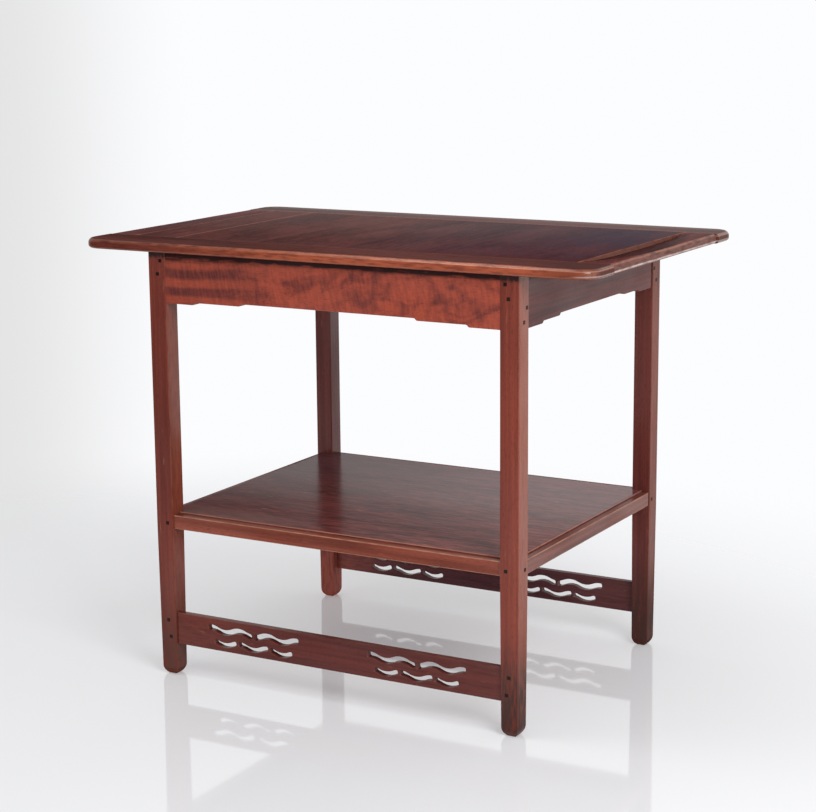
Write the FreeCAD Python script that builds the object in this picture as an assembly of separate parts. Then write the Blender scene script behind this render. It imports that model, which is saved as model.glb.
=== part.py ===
"""A serving table: a pegged mahogany frame with a clamped board top, a framed shelf
and two pierced stretchers. Millimetres, +Z up, origin on the floor under the middle."""
import FreeCAD, Part
import math
import os

Vector = FreeCAD.Vector

# Table
table_height = 737.0
frame_length = 674.0         # over the legs, left to right
frame_depth = 543.0          # over the legs, front to back
cut_overrun = 4.0            # cutting bodies reach this far past what they cut
coincidence = 0.001          # places closer than this are the same place

# Top
top_thickness = 16.5
end_overhang = 121.4         # end boards past the legs
front_overhang = 15.0        # cleats past the legs
cleat_width = 73.5
cleat_projection = 5.0       # cleat ends past the end boards
cleat_corner_radius = 33.0
edge_top_radius = 8.0        # front and back edges
edge_bottom_radius = 5.5
end_edge_top_radius = 6.0
end_edge_bottom_radius = 4.0
end_board_width = 53.4
narrow_board_width = 83.0
wide_board_count = 4
tongue_length = 10.0
tongue_thickness = 5.5
tongue_margin = 12.0         # the tongue stops this far short of the top's ends
groove_room = 0.8            # left at the bottom of a cleat's groove
scoop_depth = 6.4            # hand scoop, at the middle of its inner wall
scoop_rim_depth = 0.3        # hand scoop, at the middle of the outer rim
scoop_margin = 18.0          # from the ends of the scoop to the cleats

# Legs
leg_size = 32.5
taper_depth = 1.5            # taken off each face at the foot
leg_taper_start = 255.0      # height where the taper begins
leg_arris_radius = 1.8
foot_height = 15.0           # height of the rounded foot
foot_inset = 7.5             # taken off each side by the rounding of the foot

# Aprons
apron_height = 84.1          # at the legs
apron_thickness = 20.0
front_apron_setback = 1.2    # from the outer faces of the legs
end_apron_setback = 2.0
apron_arris_radius = 1.2
lift_rise = 3.8              # each small step in the lower edge
lift_run = 7.5
front_outer_lift = 55.0      # from the leg to the middle of the step
front_inner_lift = 144.5
end_outer_lift = 54.5
end_inner_lift = 115.5
apron_tenon_length = 24.0
apron_tenon_thickness = 8.0
tenon_top_shoulder = 7.0
tenon_bottom_shoulder = 4.0
tenon_split = 44.5           # below the apron's top: front tenons above, end tenons below
tenon_web = 1.0              # wood left between the two tenons

# Shelf
shelf_height = 282.0         # top of the shelf boards
shelf_board_thickness = 12.0
shelf_board_count = 3
shelf_proud = 2.7            # boards above the rails
shelf_gap = 1.2              # open joint round the boards
shelf_edge_radius = 1.8
leg_notch_gap = 0.4
rail_height = 23.6
front_rail_thickness = 26.0
side_rail_thickness = 23.5
front_rail_setback = 3.5
side_rail_setback = 1.5
front_rail_lip = 15.0        # rail outside the boards
side_rail_lip = 11.5
rail_arris_radius = 2.0
rail_tenon_thickness = 9.0
rail_tenon_height = 10.5
rail_tenon_shoulder = 3.0    # below the tenon
front_rail_tenon_inset = 4.0
side_rail_tenon_inset = 9.5
mitre_gap = 0.4              # between the mitred ends of two rail tenons

# Stretchers
stretcher_height = 54.8
stretcher_clearance = 55.2   # floor to lower edge
stretcher_thickness = 12.0
stretcher_setback = 5.5
stretcher_bevel = 1.0        # on every arris, slots included
stretcher_tenon_length = 22.0
stretcher_tenon_thickness = 7.5
stretcher_tenon_shoulder = 5.0

# Pierced waves in the stretchers
wave_group_offset = 154.0    # middle of the stretcher to the middle of a group
wave_period = 56.0
wave_rise = 3.1              # middle line to crest
wave_web = 4.4               # wood left between two slots of a row
slot_corner_radius = 3.2
upper_row_height = 35.8      # above the lower edge
upper_slot_height = 9.8
upper_row_length = 177.0
lower_row_height = 14.0
lower_slot_height = 8.4
lower_row_length = 152.0
lower_web_offset = 31.2      # middle of a group to a web of the lower row

# Pegs
peg_size = 5.6
peg_proud = 0.7
peg_round = 0.5
front_upper_peg_drop = 14.8  # below the underside of the top
front_lower_peg_drop = 36.6
end_upper_peg_drop = 51.5
end_lower_peg_drop = 72.5
front_upper_peg_inset = 9.0  # from the inner face of the leg
front_lower_peg_inset = 14.5
end_upper_peg_inset = 6.5
end_lower_peg_inset = 16.0
rail_peg_rise = 10.0         # above the lower edge of the rail
rail_peg_inset = 10.5
stretcher_upper_peg_rise = 41.0
stretcher_lower_peg_rise = 12.3
stretcher_upper_peg_inset = 15.5
stretcher_lower_peg_inset = 11.5

# Buttons and screws under the top and the shelf
button_length = 28.0
button_width = 26.0
button_thickness = 15.0
button_tongue_length = 7.5
button_tongue_thickness = 7.0
button_gap = 1.5             # body of the button to the apron
slot_depth = 9.0
slot_room = 1.0              # below the button's tongue
slot_side_room = 3.0
end_button_share = 0.45      # of half the end apron
screw_head_radius = 4.0
screw_head_height = 2.6
screw_shank_radius = 2.0
screw_tip_length = 3.0
button_screw_bite = 10.0     # into the top
shelf_screw_bite = 7.0       # into the shelf boards
front_rail_screw_shares = (-0.65, 0.0, 0.65)  # of half the rail
side_rail_screw_shares = (-0.5, 0.5)

# Levels and half sizes that several pieces share
underside = table_height - top_thickness
tongue_level = table_height - top_thickness / 2
top_half_length = frame_length / 2 + end_overhang
top_half_depth = frame_depth / 2 + front_overhang
board_half_length = top_half_depth - cleat_width
rail_top = shelf_height - shelf_proud
rail_bottom = rail_top - rail_height
ledge_level = shelf_height - shelf_board_thickness
stretcher_top = stretcher_clearance + stretcher_height

# Each side of the frame: turn from the front, size along the side, size across it
SIDES = {
    "front": (0, frame_length, frame_depth),
    "right": (90, frame_depth, frame_length),
    "back": (180, frame_length, frame_depth),
    "left": (270, frame_depth, frame_length),
}


def box(x0, x1, y0, y1, z0, z1):
    """A block between two corners."""
    return Part.makeBox(x1 - x0, y1 - y0, z1 - z0, Vector(x0, y0, z0))


def turned(shape, angle):
    """A copy turned about the vertical axis."""
    copy = shape.copy()
    copy.rotate(Vector(0, 0, 0), Vector(0, 0, 1), angle)
    return copy


def moved(shape, x, y, z):
    """A copy shifted by x, y and z."""
    copy = shape.copy()
    copy.translate(Vector(x, y, z))
    return copy


def upright(x, z):
    """A point of a front elevation."""
    return Vector(x, 0, z)


def outline(start, steps):
    """A face bounded by lines and arcs: a step is an end point, or a pair of via and end point."""
    edges = []
    here = start
    for step in steps:
        if isinstance(step, tuple):
            via, end = step
            edges.append(Part.Arc(here, via, end).toShape())
        else:
            end = step
            edges.append(Part.LineSegment(here, end).toShape())
        here = end
    return Part.Face(Part.Wire(edges))


def edges_on(shape, axis, level):
    """Edges whose ends and middle all lie on the plane axis = level."""
    found = []
    for edge in shape.Edges:
        middle = edge.valueAt((edge.FirstParameter + edge.LastParameter) / 2)
        points = [vertex.Point for vertex in edge.Vertexes] + [middle]
        if all(abs(point[axis] - level) < coincidence for point in points):
            found.append(edge)
    return found


def single(shape):
    """The one solid of a shape, with the seams of joined faces removed."""
    return shape.removeSplitter().Solids[0]


def leg_lean(height):
    """How far a face of the leg stands inside its full size at a height."""
    share = (leg_taper_start - height) / (leg_taper_start - foot_height)
    return taper_depth * min(max(share, 0), 1)


def leg_section(half, height):
    """A level square with rounded corners."""
    radius = leg_arris_radius
    slack = radius * (1 - math.sqrt(0.5))
    return outline(Vector(half, radius - half, height), [
        Vector(half, half - radius, height),
        (Vector(half - slack, half - slack, height), Vector(half - radius, half, height)),
        Vector(radius - half, half, height),
        (Vector(slack - half, half - slack, height), Vector(-half, half - radius, height)),
        Vector(-half, radius - half, height),
        (Vector(slack - half, slack - half, height), Vector(radius - half, -half, height)),
        Vector(half - radius, -half, height),
        (Vector(half - slack, slack - half, height), Vector(half, radius - half, height)),
    ])


def leg_foot(half):
    """The rounded foot: each side curves in from upright to a smaller flat base."""
    flat_half = half - foot_inset
    radius = (foot_inset ** 2 + foot_height ** 2) / (2 * foot_inset)
    swing = math.asin(foot_height / radius) / 2
    bulge = half - radius * (1 - math.cos(swing))
    bulge_height = foot_height - radius * math.sin(swing)
    elevation = outline(upright(-half, foot_height), [
        upright(half, foot_height),
        (upright(bulge, bulge_height), upright(flat_half, 0)),
        upright(-flat_half, 0),
        (upright(-bulge, bulge_height), upright(-half, foot_height)),
    ])
    slab = moved(elevation.extrude(Vector(0, leg_size, 0)), 0, -leg_size / 2, 0)
    foot = slab.common(turned(slab, 90)).Solids[0]
    corners = [edge for edge in foot.Edges if edge.BoundBox.ZLength > foot_height - coincidence]
    return foot.makeFillet(leg_arris_radius, corners)


def leg_blank(side_x, side_y):
    """A square leg, straight above, tapered below the shelf, on a rounded foot."""
    half = leg_size / 2
    foot_half = half - taper_depth
    shank = leg_section(half, leg_taper_start)
    ankle = leg_section(foot_half, foot_height)
    straight = shank.extrude(Vector(0, 0, underside - leg_taper_start))
    tapered = Part.makeLoft([shank.OuterWire, ankle.OuterWire], True, True)
    leg = single(straight.fuse([tapered, leg_foot(foot_half)]))
    return moved(leg, side_x * (frame_length / 2 - half), side_y * (frame_depth / 2 - half), 0)


def between_legs(half, face_y, thickness, low, high):
    """A block that fills the space between two legs, its ends leaning as they do."""
    low_half = half + leg_lean(low)
    high_half = half + leg_lean(high)
    elevation = outline(upright(-low_half, low), [
        upright(low_half, low),
        upright(high_half, high),
        upright(-high_half, high),
        upright(-low_half, low),
    ])
    return moved(elevation.extrude(Vector(0, thickness, 0)), 0, face_y, 0)


def with_tenons(body, half, outer_length, inner_length, cheek, thickness, low, high):
    """Adds a tenon at both ends; its end is mitred where the two cheeks differ in length."""
    tenons = []
    for end in (-1, 1):
        root = end * (half - thickness)
        plan = outline(Vector(root, cheek, low), [
            Vector(end * (half + outer_length), cheek, low),
            Vector(end * (half + inner_length), cheek + thickness, low),
            Vector(root, cheek + thickness, low),
            Vector(root, cheek, low),
        ])
        tenons.append(plan.extrude(Vector(0, 0, high - low)))
    return single(body.fuse(tenons))


def lift(place, level, rise):
    """A small rounded step in a lower edge: two tangent arcs, up or down by rise."""
    start = place - lift_run / 2
    radius = (lift_run ** 2 + rise ** 2) / (4 * rise)
    swing = math.atan(rise / lift_run)
    across = radius * math.sin(swing)
    up = radius * (1 - math.cos(swing))
    return [
        upright(start, level),
        (upright(start + across, level + up), upright(place, level + rise / 2)),
        (upright(start + lift_run - across, level + rise - up), upright(start + lift_run, level + rise)),
    ]


def apron(side, setback, outer_lift, inner_lift, tenon_low, tenon_high):
    """An apron with a stepped lower edge, slots for the buttons and a tenon at each end."""
    turn, length, depth = SIDES[side]
    half = length / 2 - leg_size
    low = underside - apron_height
    middle = low + lift_rise
    high = middle + lift_rise
    steps = [upright(-half, low)]
    steps += lift(-half + outer_lift, low, lift_rise)
    steps += lift(-half + inner_lift, middle, lift_rise)
    steps += lift(half - inner_lift, high, -lift_rise)
    steps += lift(half - outer_lift, middle, -lift_rise)
    steps += [upright(half, low), upright(half, underside), upright(-half, underside)]
    face_y = setback - depth / 2
    elevation = outline(upright(-half, underside), steps)
    body = moved(elevation.extrude(Vector(0, apron_thickness, 0)), 0, face_y, 0)
    lower = [edge for edge in edges_on(body, 1, face_y) if edge.BoundBox.ZMax < underside - lift_rise]
    body = body.makeFillet(apron_arris_radius, lower)
    back_y = face_y + apron_thickness
    for place in button_places(side):
        reach = button_width / 2 + slot_side_room
        slot_low = underside - button_thickness - slot_room
        slot_high = underside - button_thickness + button_tongue_thickness
        body = body.cut(box(place - reach, place + reach, back_y - slot_depth, back_y + cut_overrun,
                            slot_low, slot_high))
    cheek = face_y + (apron_thickness - apron_tenon_thickness) / 2
    body = with_tenons(body, half, apron_tenon_length, apron_tenon_length,
                       cheek, apron_tenon_thickness, tenon_low, tenon_high)
    return turned(body, turn)


def rail_cheeks(side):
    """Distances of a rail tenon's outer and inner cheek from the outer face of the leg."""
    if side in ("front", "back"):
        outer = front_rail_setback + front_rail_tenon_inset
    else:
        outer = side_rail_setback + side_rail_tenon_inset
    return outer, outer + rail_tenon_thickness


def shelf_rail(side, setback, thickness, lip, neighbour):
    """A shelf rail with a rebate for the boards, eased arrises and mitred tenons."""
    turn, length, depth = SIDES[side]
    half = length / 2 - leg_size
    face_y = setback - depth / 2
    body = between_legs(half, face_y, thickness, rail_bottom, rail_top)
    body = body.makeFillet(rail_arris_radius, edges_on(body, 1, face_y))
    body = body.cut(box(-length, length, face_y + lip, face_y + thickness + cut_overrun,
                        ledge_level, rail_top + cut_overrun))
    outer, inner = rail_cheeks(side)
    near, far = rail_cheeks(neighbour)
    tenon_low = rail_bottom + rail_tenon_shoulder
    body = with_tenons(body, half, leg_size - near - mitre_gap, leg_size - far - mitre_gap,
                       outer - depth / 2, rail_tenon_thickness, tenon_low, tenon_low + rail_tenon_height)
    return turned(body, turn)


def wave_row(middle, level, slot_height, row_length, webs):
    """Cutting bodies for one row of wavy slots: tangent arcs, with a trough at the middle."""
    half_wave = wave_period / 2
    count = 2 * math.ceil(row_length / wave_period) + 1
    start = middle - count * half_wave / 2
    lower_steps = []
    upper_steps = []
    for index in range(count):
        trough = (index - count // 2) % 2 == 0
        swell = -wave_rise if trough else wave_rise
        left = start + index * half_wave
        right = left + half_wave
        crest = left + half_wave / 2
        lower = level - slot_height / 2
        upper = level + slot_height / 2
        lower_steps.append((upright(crest, lower + swell), upright(right, lower)))
        upper_steps.append((upright(crest, upper + swell), upright(left, upper)))
    upper_steps.reverse()
    steps = lower_steps + [upright(start + count * half_wave, level + slot_height / 2)] + upper_steps
    steps.append(upright(start, level - slot_height / 2))
    band = outline(upright(start, level - slot_height / 2), steps)
    thickness = stretcher_thickness + 2 * cut_overrun
    row = moved(band.extrude(Vector(0, thickness, 0)), 0, -thickness / 2, 0)
    ends = [middle - row_length / 2] + [middle + web for web in webs] + [middle + row_length / 2]
    slots = []
    for index in range(len(ends) - 1):
        left = ends[index] + (wave_web / 2 if index else 0)
        right = ends[index + 1] - (wave_web / 2 if index < len(ends) - 2 else 0)
        reach = slot_height + wave_rise
        window = box(left, right, -thickness, thickness, level - reach, level + reach)
        slot = row.common(window).Solids[0]
        corners = [edge for edge in edges_on(slot, 0, left) + edges_on(slot, 0, right)
                   if edge.BoundBox.ZLength < coincidence]
        slots.append(slot.makeFillet(slot_corner_radius, corners))
    return slots


def stretcher(side):
    """A low stretcher with two groups of pierced waves and a tenon at each end."""
    turn, length, depth = SIDES[side]
    half = length / 2 - leg_size
    face_y = stretcher_setback - depth / 2
    back_y = face_y + stretcher_thickness
    body = between_legs(half, face_y, stretcher_thickness, stretcher_clearance, stretcher_top)
    for group in (-1, 1):
        middle = group * wave_group_offset
        slots = wave_row(middle, stretcher_clearance + upper_row_height, upper_slot_height,
                         upper_row_length, [0])
        slots += wave_row(middle, stretcher_clearance + lower_row_height, lower_slot_height, lower_row_length,
                          [-lower_web_offset, lower_web_offset])
        body = body.cut([moved(slot, 0, (face_y + back_y) / 2, 0) for slot in slots])
    body = body.Solids[0]
    body = body.makeChamfer(stretcher_bevel, edges_on(body, 1, face_y) + edges_on(body, 1, back_y))
    cheek = face_y + (stretcher_thickness - stretcher_tenon_thickness) / 2
    body = with_tenons(body, half, stretcher_tenon_length, stretcher_tenon_length, cheek,
                       stretcher_tenon_thickness, stretcher_clearance + stretcher_tenon_shoulder,
                       stretcher_top - stretcher_tenon_shoulder)
    return turned(body, turn)


def peg_pair(side, inset, height, far_cheek):
    """Two square pegs, one in each leg of a side, through the tenon to its far cheek."""
    turn, length, depth = SIDES[side]
    face_y = leg_lean(height) - depth / 2
    pegs = []
    for end in (-1, 1):
        middle = end * (length / 2 - leg_size + inset)
        half = peg_size / 2
        peg = box(middle - half, middle + half, face_y - peg_proud, far_cheek - depth / 2,
                  height - half, height + half)
        peg = peg.makeFillet(peg_round, edges_on(peg, 1, face_y - peg_proud))
        pegs.append(turned(peg, turn))
    return pegs


def cleat(turn):
    """A long cleat across the ends of the top boards, with a rounded edge and a stopped groove."""
    half = top_half_length + cleat_projection
    outer = -top_half_depth
    inner = outer + cleat_width
    radius = cleat_corner_radius
    slack = radius * (1 - math.sqrt(0.5))
    plan = outline(Vector(-half, inner, underside), [
        Vector(-half, outer + radius, underside),
        (Vector(-half + slack, outer + slack, underside), Vector(-half + radius, outer, underside)),
        Vector(half - radius, outer, underside),
        (Vector(half - slack, outer + slack, underside), Vector(half, outer + radius, underside)),
        Vector(half, inner, underside),
        Vector(-half, inner, underside),
    ])
    body = plan.extrude(Vector(0, 0, top_thickness))
    for level, rounding in ((table_height, edge_top_radius), (underside, edge_bottom_radius)):
        rim = [edge for edge in edges_on(body, 2, level) if edge.BoundBox.YMin < inner - coincidence]
        body = body.makeFillet(rounding, rim)
    groove_half = top_half_length - tongue_margin
    groove = box(-groove_half, groove_half, inner - tongue_length - groove_room, inner + cut_overrun,
                 tongue_level - tongue_thickness / 2, tongue_level + tongue_thickness / 2)
    return turned(body.cut(groove), turn)


def top_board(left, right):
    """A board of the top, with a tongue at the front and back ends."""
    board = box(left, right, -board_half_length, board_half_length, underside, table_height)
    reach = board_half_length + tongue_length
    limit = top_half_length - tongue_margin
    tongue = box(max(left, -limit), min(right, limit), -reach, reach,
                 tongue_level - tongue_thickness / 2, tongue_level + tongue_thickness / 2)
    return single(board.fuse(tongue))


def scoop_section(x):
    """The section of the hand scoop at its inner wall: half an ellipse, closed above the top."""
    reach = board_half_length - scoop_margin
    middle = Vector(x, 0, table_height)
    ellipse = Part.Ellipse(Vector(x, reach, table_height), Vector(x, 0, table_height - scoop_depth), middle)
    bottom = Part.ArcOfEllipse(ellipse, 0, math.pi).toShape()
    corners = [
        Vector(x, -reach, table_height),
        Vector(x, -reach, table_height + cut_overrun),
        Vector(x, reach, table_height + cut_overrun),
        Vector(x, reach, table_height),
    ]
    sides = [Part.LineSegment(a, b).toShape() for a, b in zip(corners, corners[1:])]
    return Part.Face(Part.Wire([bottom] + sides))


def end_board(turn):
    """The narrow board at an end of the top, rounded outside and scooped as a hand hold."""
    inner = top_half_length - end_board_width
    board = top_board(inner, top_half_length)
    for level, rounding in ((table_height, end_edge_top_radius), (underside, end_edge_bottom_radius)):
        rim = [edge for edge in edges_on(board, 0, top_half_length)
               if abs(edge.BoundBox.ZMin - level) + abs(edge.BoundBox.ZMax - level) < coincidence]
        board = board.makeFillet(rounding, rim)
    slope = (scoop_depth - scoop_rim_depth) / end_board_width
    run = end_board_width + cut_overrun
    scoop = scoop_section(inner).extrude(Vector(run, 0, run * slope))
    return turned(single(board.cut(scoop)), turn)


def shelf_boards():
    """The shelf boards, front to back, notched round the legs, with eased outer edges."""
    half_length = frame_length / 2 - side_rail_setback - side_rail_lip - shelf_gap
    half_depth = frame_depth / 2 - front_rail_setback - front_rail_lip - shelf_gap
    panel = box(-half_length, half_length, -half_depth, half_depth, ledge_level, shelf_height)
    rim = []
    for axis, level in ((0, half_length), (0, -half_length), (1, half_depth), (1, -half_depth)):
        rim += [edge for edge in edges_on(panel, axis, level)
                if edge.BoundBox.ZMin > ledge_level + coincidence]
    panel = panel.makeFillet(shelf_edge_radius, rim)
    notch_x = frame_length / 2 - leg_size - leg_notch_gap
    notch_y = frame_depth / 2 - leg_size - leg_notch_gap
    for side_x in (-1, 1):
        for side_y in (-1, 1):
            block = box(0, leg_size, 0, leg_size, ledge_level - cut_overrun, shelf_height + cut_overrun)
            shift_x = notch_x if side_x > 0 else -notch_x - leg_size
            shift_y = notch_y if side_y > 0 else -notch_y - leg_size
            panel = panel.cut(moved(block, shift_x, shift_y, 0))
    width = 2 * half_depth / shelf_board_count
    boards = []
    for index in range(shelf_board_count):
        front = -half_depth + index * width
        strip = box(-frame_length, frame_length, front, front + width,
                    ledge_level - cut_overrun, shelf_height + cut_overrun)
        boards.append(panel.common(strip).Solids[0])
    return boards


def board_edges():
    """The places of the joints in the top, from left to right."""
    inner = top_half_length - end_board_width
    middle = inner - narrow_board_width
    wide = 2 * middle / wide_board_count
    return [-inner] + [-middle + index * wide for index in range(wide_board_count + 1)] + [inner]


def button_places(side):
    """Middles of the buttons along a side: in line with each wide board, or two at an end."""
    if side in ("front", "back"):
        edges = board_edges()[1:-1]
        return [(left + right) / 2 for left, right in zip(edges, edges[1:])]
    reach = end_button_share * (frame_depth / 2 - leg_size)
    return [-reach, reach]


def screw(length):
    """A countersunk screw that points up, with its head at the origin."""
    profile = outline(upright(0, 0), [
        upright(screw_head_radius, 0),
        upright(screw_shank_radius, screw_head_height),
        upright(screw_shank_radius, length - screw_tip_length),
        upright(0, length),
        upright(0, 0),
    ])
    return profile.revolve(Vector(0, 0, 0), Vector(0, 0, 1), 360)


def top_fixings(side, setback):
    """The buttons that hold the top to one apron, and their screws."""
    turn, length, depth = SIDES[side]
    apron_back = setback + apron_thickness - depth / 2
    body_front = apron_back + button_gap
    body_back = body_front + button_length
    low = underside - button_thickness
    middle_y = (body_front + body_back) / 2
    buttons = []
    screws = []
    for place in button_places(side):
        left = place - button_width / 2
        right = place + button_width / 2
        button = box(left, right, body_front, body_back, low, underside)
        tongue = box(left, right, apron_back - button_tongue_length, body_back,
                     low, low + button_tongue_thickness)
        fixing = moved(screw(button_thickness + button_screw_bite), place, middle_y, low)
        buttons.append(turned(single(button.fuse(tongue)).cut(fixing), turn))
        screws.append(turned(fixing, turn))
    return buttons, screws


def shelf_screws(side, setback, thickness, lip, shares):
    """The screws that hold the shelf boards down to one rail."""
    turn, length, depth = SIDES[side]
    half = length / 2 - leg_size
    middle_y = setback + (lip + thickness) / 2 - depth / 2
    reach = ledge_level - rail_bottom + shelf_screw_bite
    return [turned(moved(screw(reach), share * half, middle_y, rail_bottom), turn) for share in shares]


def cut_each(pieces, tools):
    """Every named piece with the tools cut away."""
    return {name: piece.cut(tools).Solids[0] for name, piece in pieces.items()}


# Legs
blanks = {}
for side_y, depth_name in ((-1, "front"), (1, "back")):
    for side_x, length_name in ((-1, "left"), (1, "right")):
        blanks["leg_" + depth_name + "_" + length_name] = leg_blank(side_x, side_y)

# Aprons: the front and back tenons sit above the end tenons
aprons = {}
split = underside - tenon_split
for side in ("front", "back"):
    aprons["apron_" + side] = apron(side, front_apron_setback, front_outer_lift, front_inner_lift,
                                    split + tenon_web / 2, underside - tenon_top_shoulder)
for side in ("left", "right"):
    aprons["apron_" + side] = apron(side, end_apron_setback, end_outer_lift, end_inner_lift,
                                    underside - apron_height + tenon_bottom_shoulder, split - tenon_web / 2)

# Shelf rails and stretchers
rails = {}
for side in ("front", "back"):
    rails["shelf_rail_" + side] = shelf_rail(side, front_rail_setback, front_rail_thickness,
                                             front_rail_lip, "left")
for side in ("left", "right"):
    rails["shelf_rail_" + side] = shelf_rail(side, side_rail_setback, side_rail_thickness,
                                             side_rail_lip, "front")
stretchers = {"stretcher_" + side: stretcher(side) for side in ("front", "back")}

# Pegs through every tenon
front_apron_cheek = front_apron_setback + (apron_thickness + apron_tenon_thickness) / 2
end_apron_cheek = end_apron_setback + (apron_thickness + apron_tenon_thickness) / 2
stretcher_cheek = stretcher_setback + (stretcher_thickness + stretcher_tenon_thickness) / 2
apron_pegs = []
shelf_pegs = []
stretcher_pegs = []
for side in ("front", "back"):
    apron_pegs += peg_pair(side, front_upper_peg_inset, underside - front_upper_peg_drop, front_apron_cheek)
    apron_pegs += peg_pair(side, front_lower_peg_inset, underside - front_lower_peg_drop, front_apron_cheek)
    stretcher_pegs += peg_pair(side, stretcher_upper_peg_inset,
                               stretcher_clearance + stretcher_upper_peg_rise, stretcher_cheek)
    stretcher_pegs += peg_pair(side, stretcher_lower_peg_inset,
                               stretcher_clearance + stretcher_lower_peg_rise, stretcher_cheek)
for side in ("left", "right"):
    apron_pegs += peg_pair(side, end_upper_peg_inset, underside - end_upper_peg_drop, end_apron_cheek)
    apron_pegs += peg_pair(side, end_lower_peg_inset, underside - end_lower_peg_drop, end_apron_cheek)
for side in SIDES:
    shelf_pegs += peg_pair(side, rail_peg_inset, rail_bottom + rail_peg_rise, rail_cheeks(side)[1])
all_pegs = apron_pegs + shelf_pegs + stretcher_pegs

# Mortises and peg holes
aprons = cut_each(aprons, apron_pegs)
rails = cut_each(rails, shelf_pegs)
stretchers = cut_each(stretchers, stretcher_pegs)
members = list(aprons.values()) + list(rails.values()) + list(stretchers.values())
legs = cut_each(blanks, members + all_pegs)

# Top boards and cleats
edges = board_edges()
boards = {"top_end_board_left": end_board(180), "top_end_board_right": end_board(0)}
for number, (left, right) in enumerate(zip(edges, edges[1:]), start=1):
    boards["top_board_" + str(number)] = top_board(left, right)
cleats = {"top_cleat_front": cleat(0), "top_cleat_back": cleat(180)}

# Buttons and screws
buttons = []
button_screws = []
for side, setback in (("front", front_apron_setback), ("back", front_apron_setback),
                      ("left", end_apron_setback), ("right", end_apron_setback)):
    side_buttons, side_screws = top_fixings(side, setback)
    buttons += side_buttons
    button_screws += side_screws
boards = cut_each(boards, button_screws)
cleats = cut_each(cleats, button_screws)

rail_screws = []
for side in ("front", "back"):
    rail_screws += shelf_screws(side, front_rail_setback, front_rail_thickness, front_rail_lip,
                                front_rail_screw_shares)
for side in ("left", "right"):
    rail_screws += shelf_screws(side, side_rail_setback, side_rail_thickness, side_rail_lip,
                                side_rail_screw_shares)
rails = cut_each(rails, rail_screws)
shelf = {"shelf_board_" + str(number): board for number, board in enumerate(shelf_boards(), start=1)}
shelf = cut_each(shelf, rail_screws)

# Every piece, one file each; pegs, buttons and screws are groups of separate solids
nodes = {}
for group in (boards, cleats, legs, aprons, rails, shelf, stretchers):
    nodes.update(group)
nodes["apron_pegs"] = Part.makeCompound(apron_pegs)
nodes["shelf_pegs"] = Part.makeCompound(shelf_pegs)
nodes["stretcher_pegs"] = Part.makeCompound(stretcher_pegs)
nodes["top_buttons"] = Part.makeCompound(buttons)
nodes["button_screws"] = Part.makeCompound(button_screws)
nodes["shelf_screws"] = Part.makeCompound(rail_screws)

os.makedirs("parts", exist_ok=True)
for name, shape in nodes.items():
    shape.exportStep("parts/" + name + ".step")
    state = "valid" if shape.isValid() else "NOT VALID"
    print(name, len(shape.Solids), "solids", round(shape.Volume), "mm3", state)
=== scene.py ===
# %% [markdown]
# # A mahogany serving table
#
# The table is already built: every board, leg, rail and peg comes from the CAD frame, in metres, with +Z up
# and the origin on the floor. The pieces could be modelled again here, but the solids already have every
# form that shows. So this lesson only gives them wood, wear and varnish, and a studio to stand in.

import math
from collections import namedtuple

import bpy
from mathutils import Matrix, Vector


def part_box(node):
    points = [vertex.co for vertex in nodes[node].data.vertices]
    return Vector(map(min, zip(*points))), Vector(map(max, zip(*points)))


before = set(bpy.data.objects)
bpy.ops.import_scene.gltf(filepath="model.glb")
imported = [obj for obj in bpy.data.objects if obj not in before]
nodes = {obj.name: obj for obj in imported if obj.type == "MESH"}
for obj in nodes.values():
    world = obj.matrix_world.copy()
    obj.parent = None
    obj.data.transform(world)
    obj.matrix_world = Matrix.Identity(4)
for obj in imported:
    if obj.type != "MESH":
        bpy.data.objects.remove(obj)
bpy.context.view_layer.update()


# %% [markdown]
# ## Shader arithmetic
#
# A wood pattern is mostly arithmetic on noise. The nodes could be placed and wired one by one, but a formula
# is hard to see in that. `Field` wraps the output of a shader node, so that fields are added and multiplied
# like numbers and a pattern reads as one expression. `node` makes every other kind of node.


# %% The field class
class Field:
    """The output of a shader node, with arithmetic."""

    def __init__(self, tree, socket=None):
        self.tree = tree
        self.socket = socket

    def node(self, kind, inputs, output=0, **settings):
        """A new node: inputs are fields or constants by name or index."""
        made = self.tree.nodes.new(kind)
        for key, value in settings.items():
            setattr(made, key, value)
        for key, value in inputs.items():
            if isinstance(value, Field):
                self.tree.links.new(value.socket, made.inputs[key])
            else:
                made.inputs[key].default_value = value
        return Field(self.tree, made.outputs[output])

    def maths(self, operation, *others):
        """A Math node with this field first and the others after it."""
        return self.node("ShaderNodeMath", dict(enumerate((self, *others))), operation=operation)

    def __add__(self, other):
        return self.maths("ADD", other)

    def __sub__(self, other):
        return self.maths("SUBTRACT", other)

    def __rsub__(self, other):
        return self.node("ShaderNodeMath", {0: other, 1: self}, operation="SUBTRACT")

    def __mul__(self, other):
        return self.maths("MULTIPLY", other)

    def __abs__(self):
        return self.maths("ABSOLUTE")

    __radd__ = __add__
    __rmul__ = __mul__

    def step(self, low, high):
        """0 before low, 1 past high, smooth between; low may be the larger."""
        inputs = {"Value": self, "From Min": low, "From Max": high}
        return self.node("ShaderNodeMapRange", inputs, interpolation_type="SMOOTHSTEP")

    def mix(self, first, second):
        """The first colour where this field is 0 and the second where it is 1."""
        return self.node("ShaderNodeMix", {0: self, 6: first, 7: second}, output=2, data_type="RGBA")


print("fields add, subtract, multiply, step and mix")

# %% [markdown]
# ## Coordinates along the grain
#
# Each piece of wood has its grain along one axis. A UV map could carry the pattern, but noise on Object
# coordinates needs no map, and these are metres, because every piece sits at the origin. The noise is drawn
# out: few waves along the grain and many across it make fibres, and the reverse makes the ripple of figured
# wood.

# %% Noise along the grain
AXES = {"x": 0, "y": 1, "z": 2}
SEED_STEP = (1.7, 2.3, 3.1)


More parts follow.
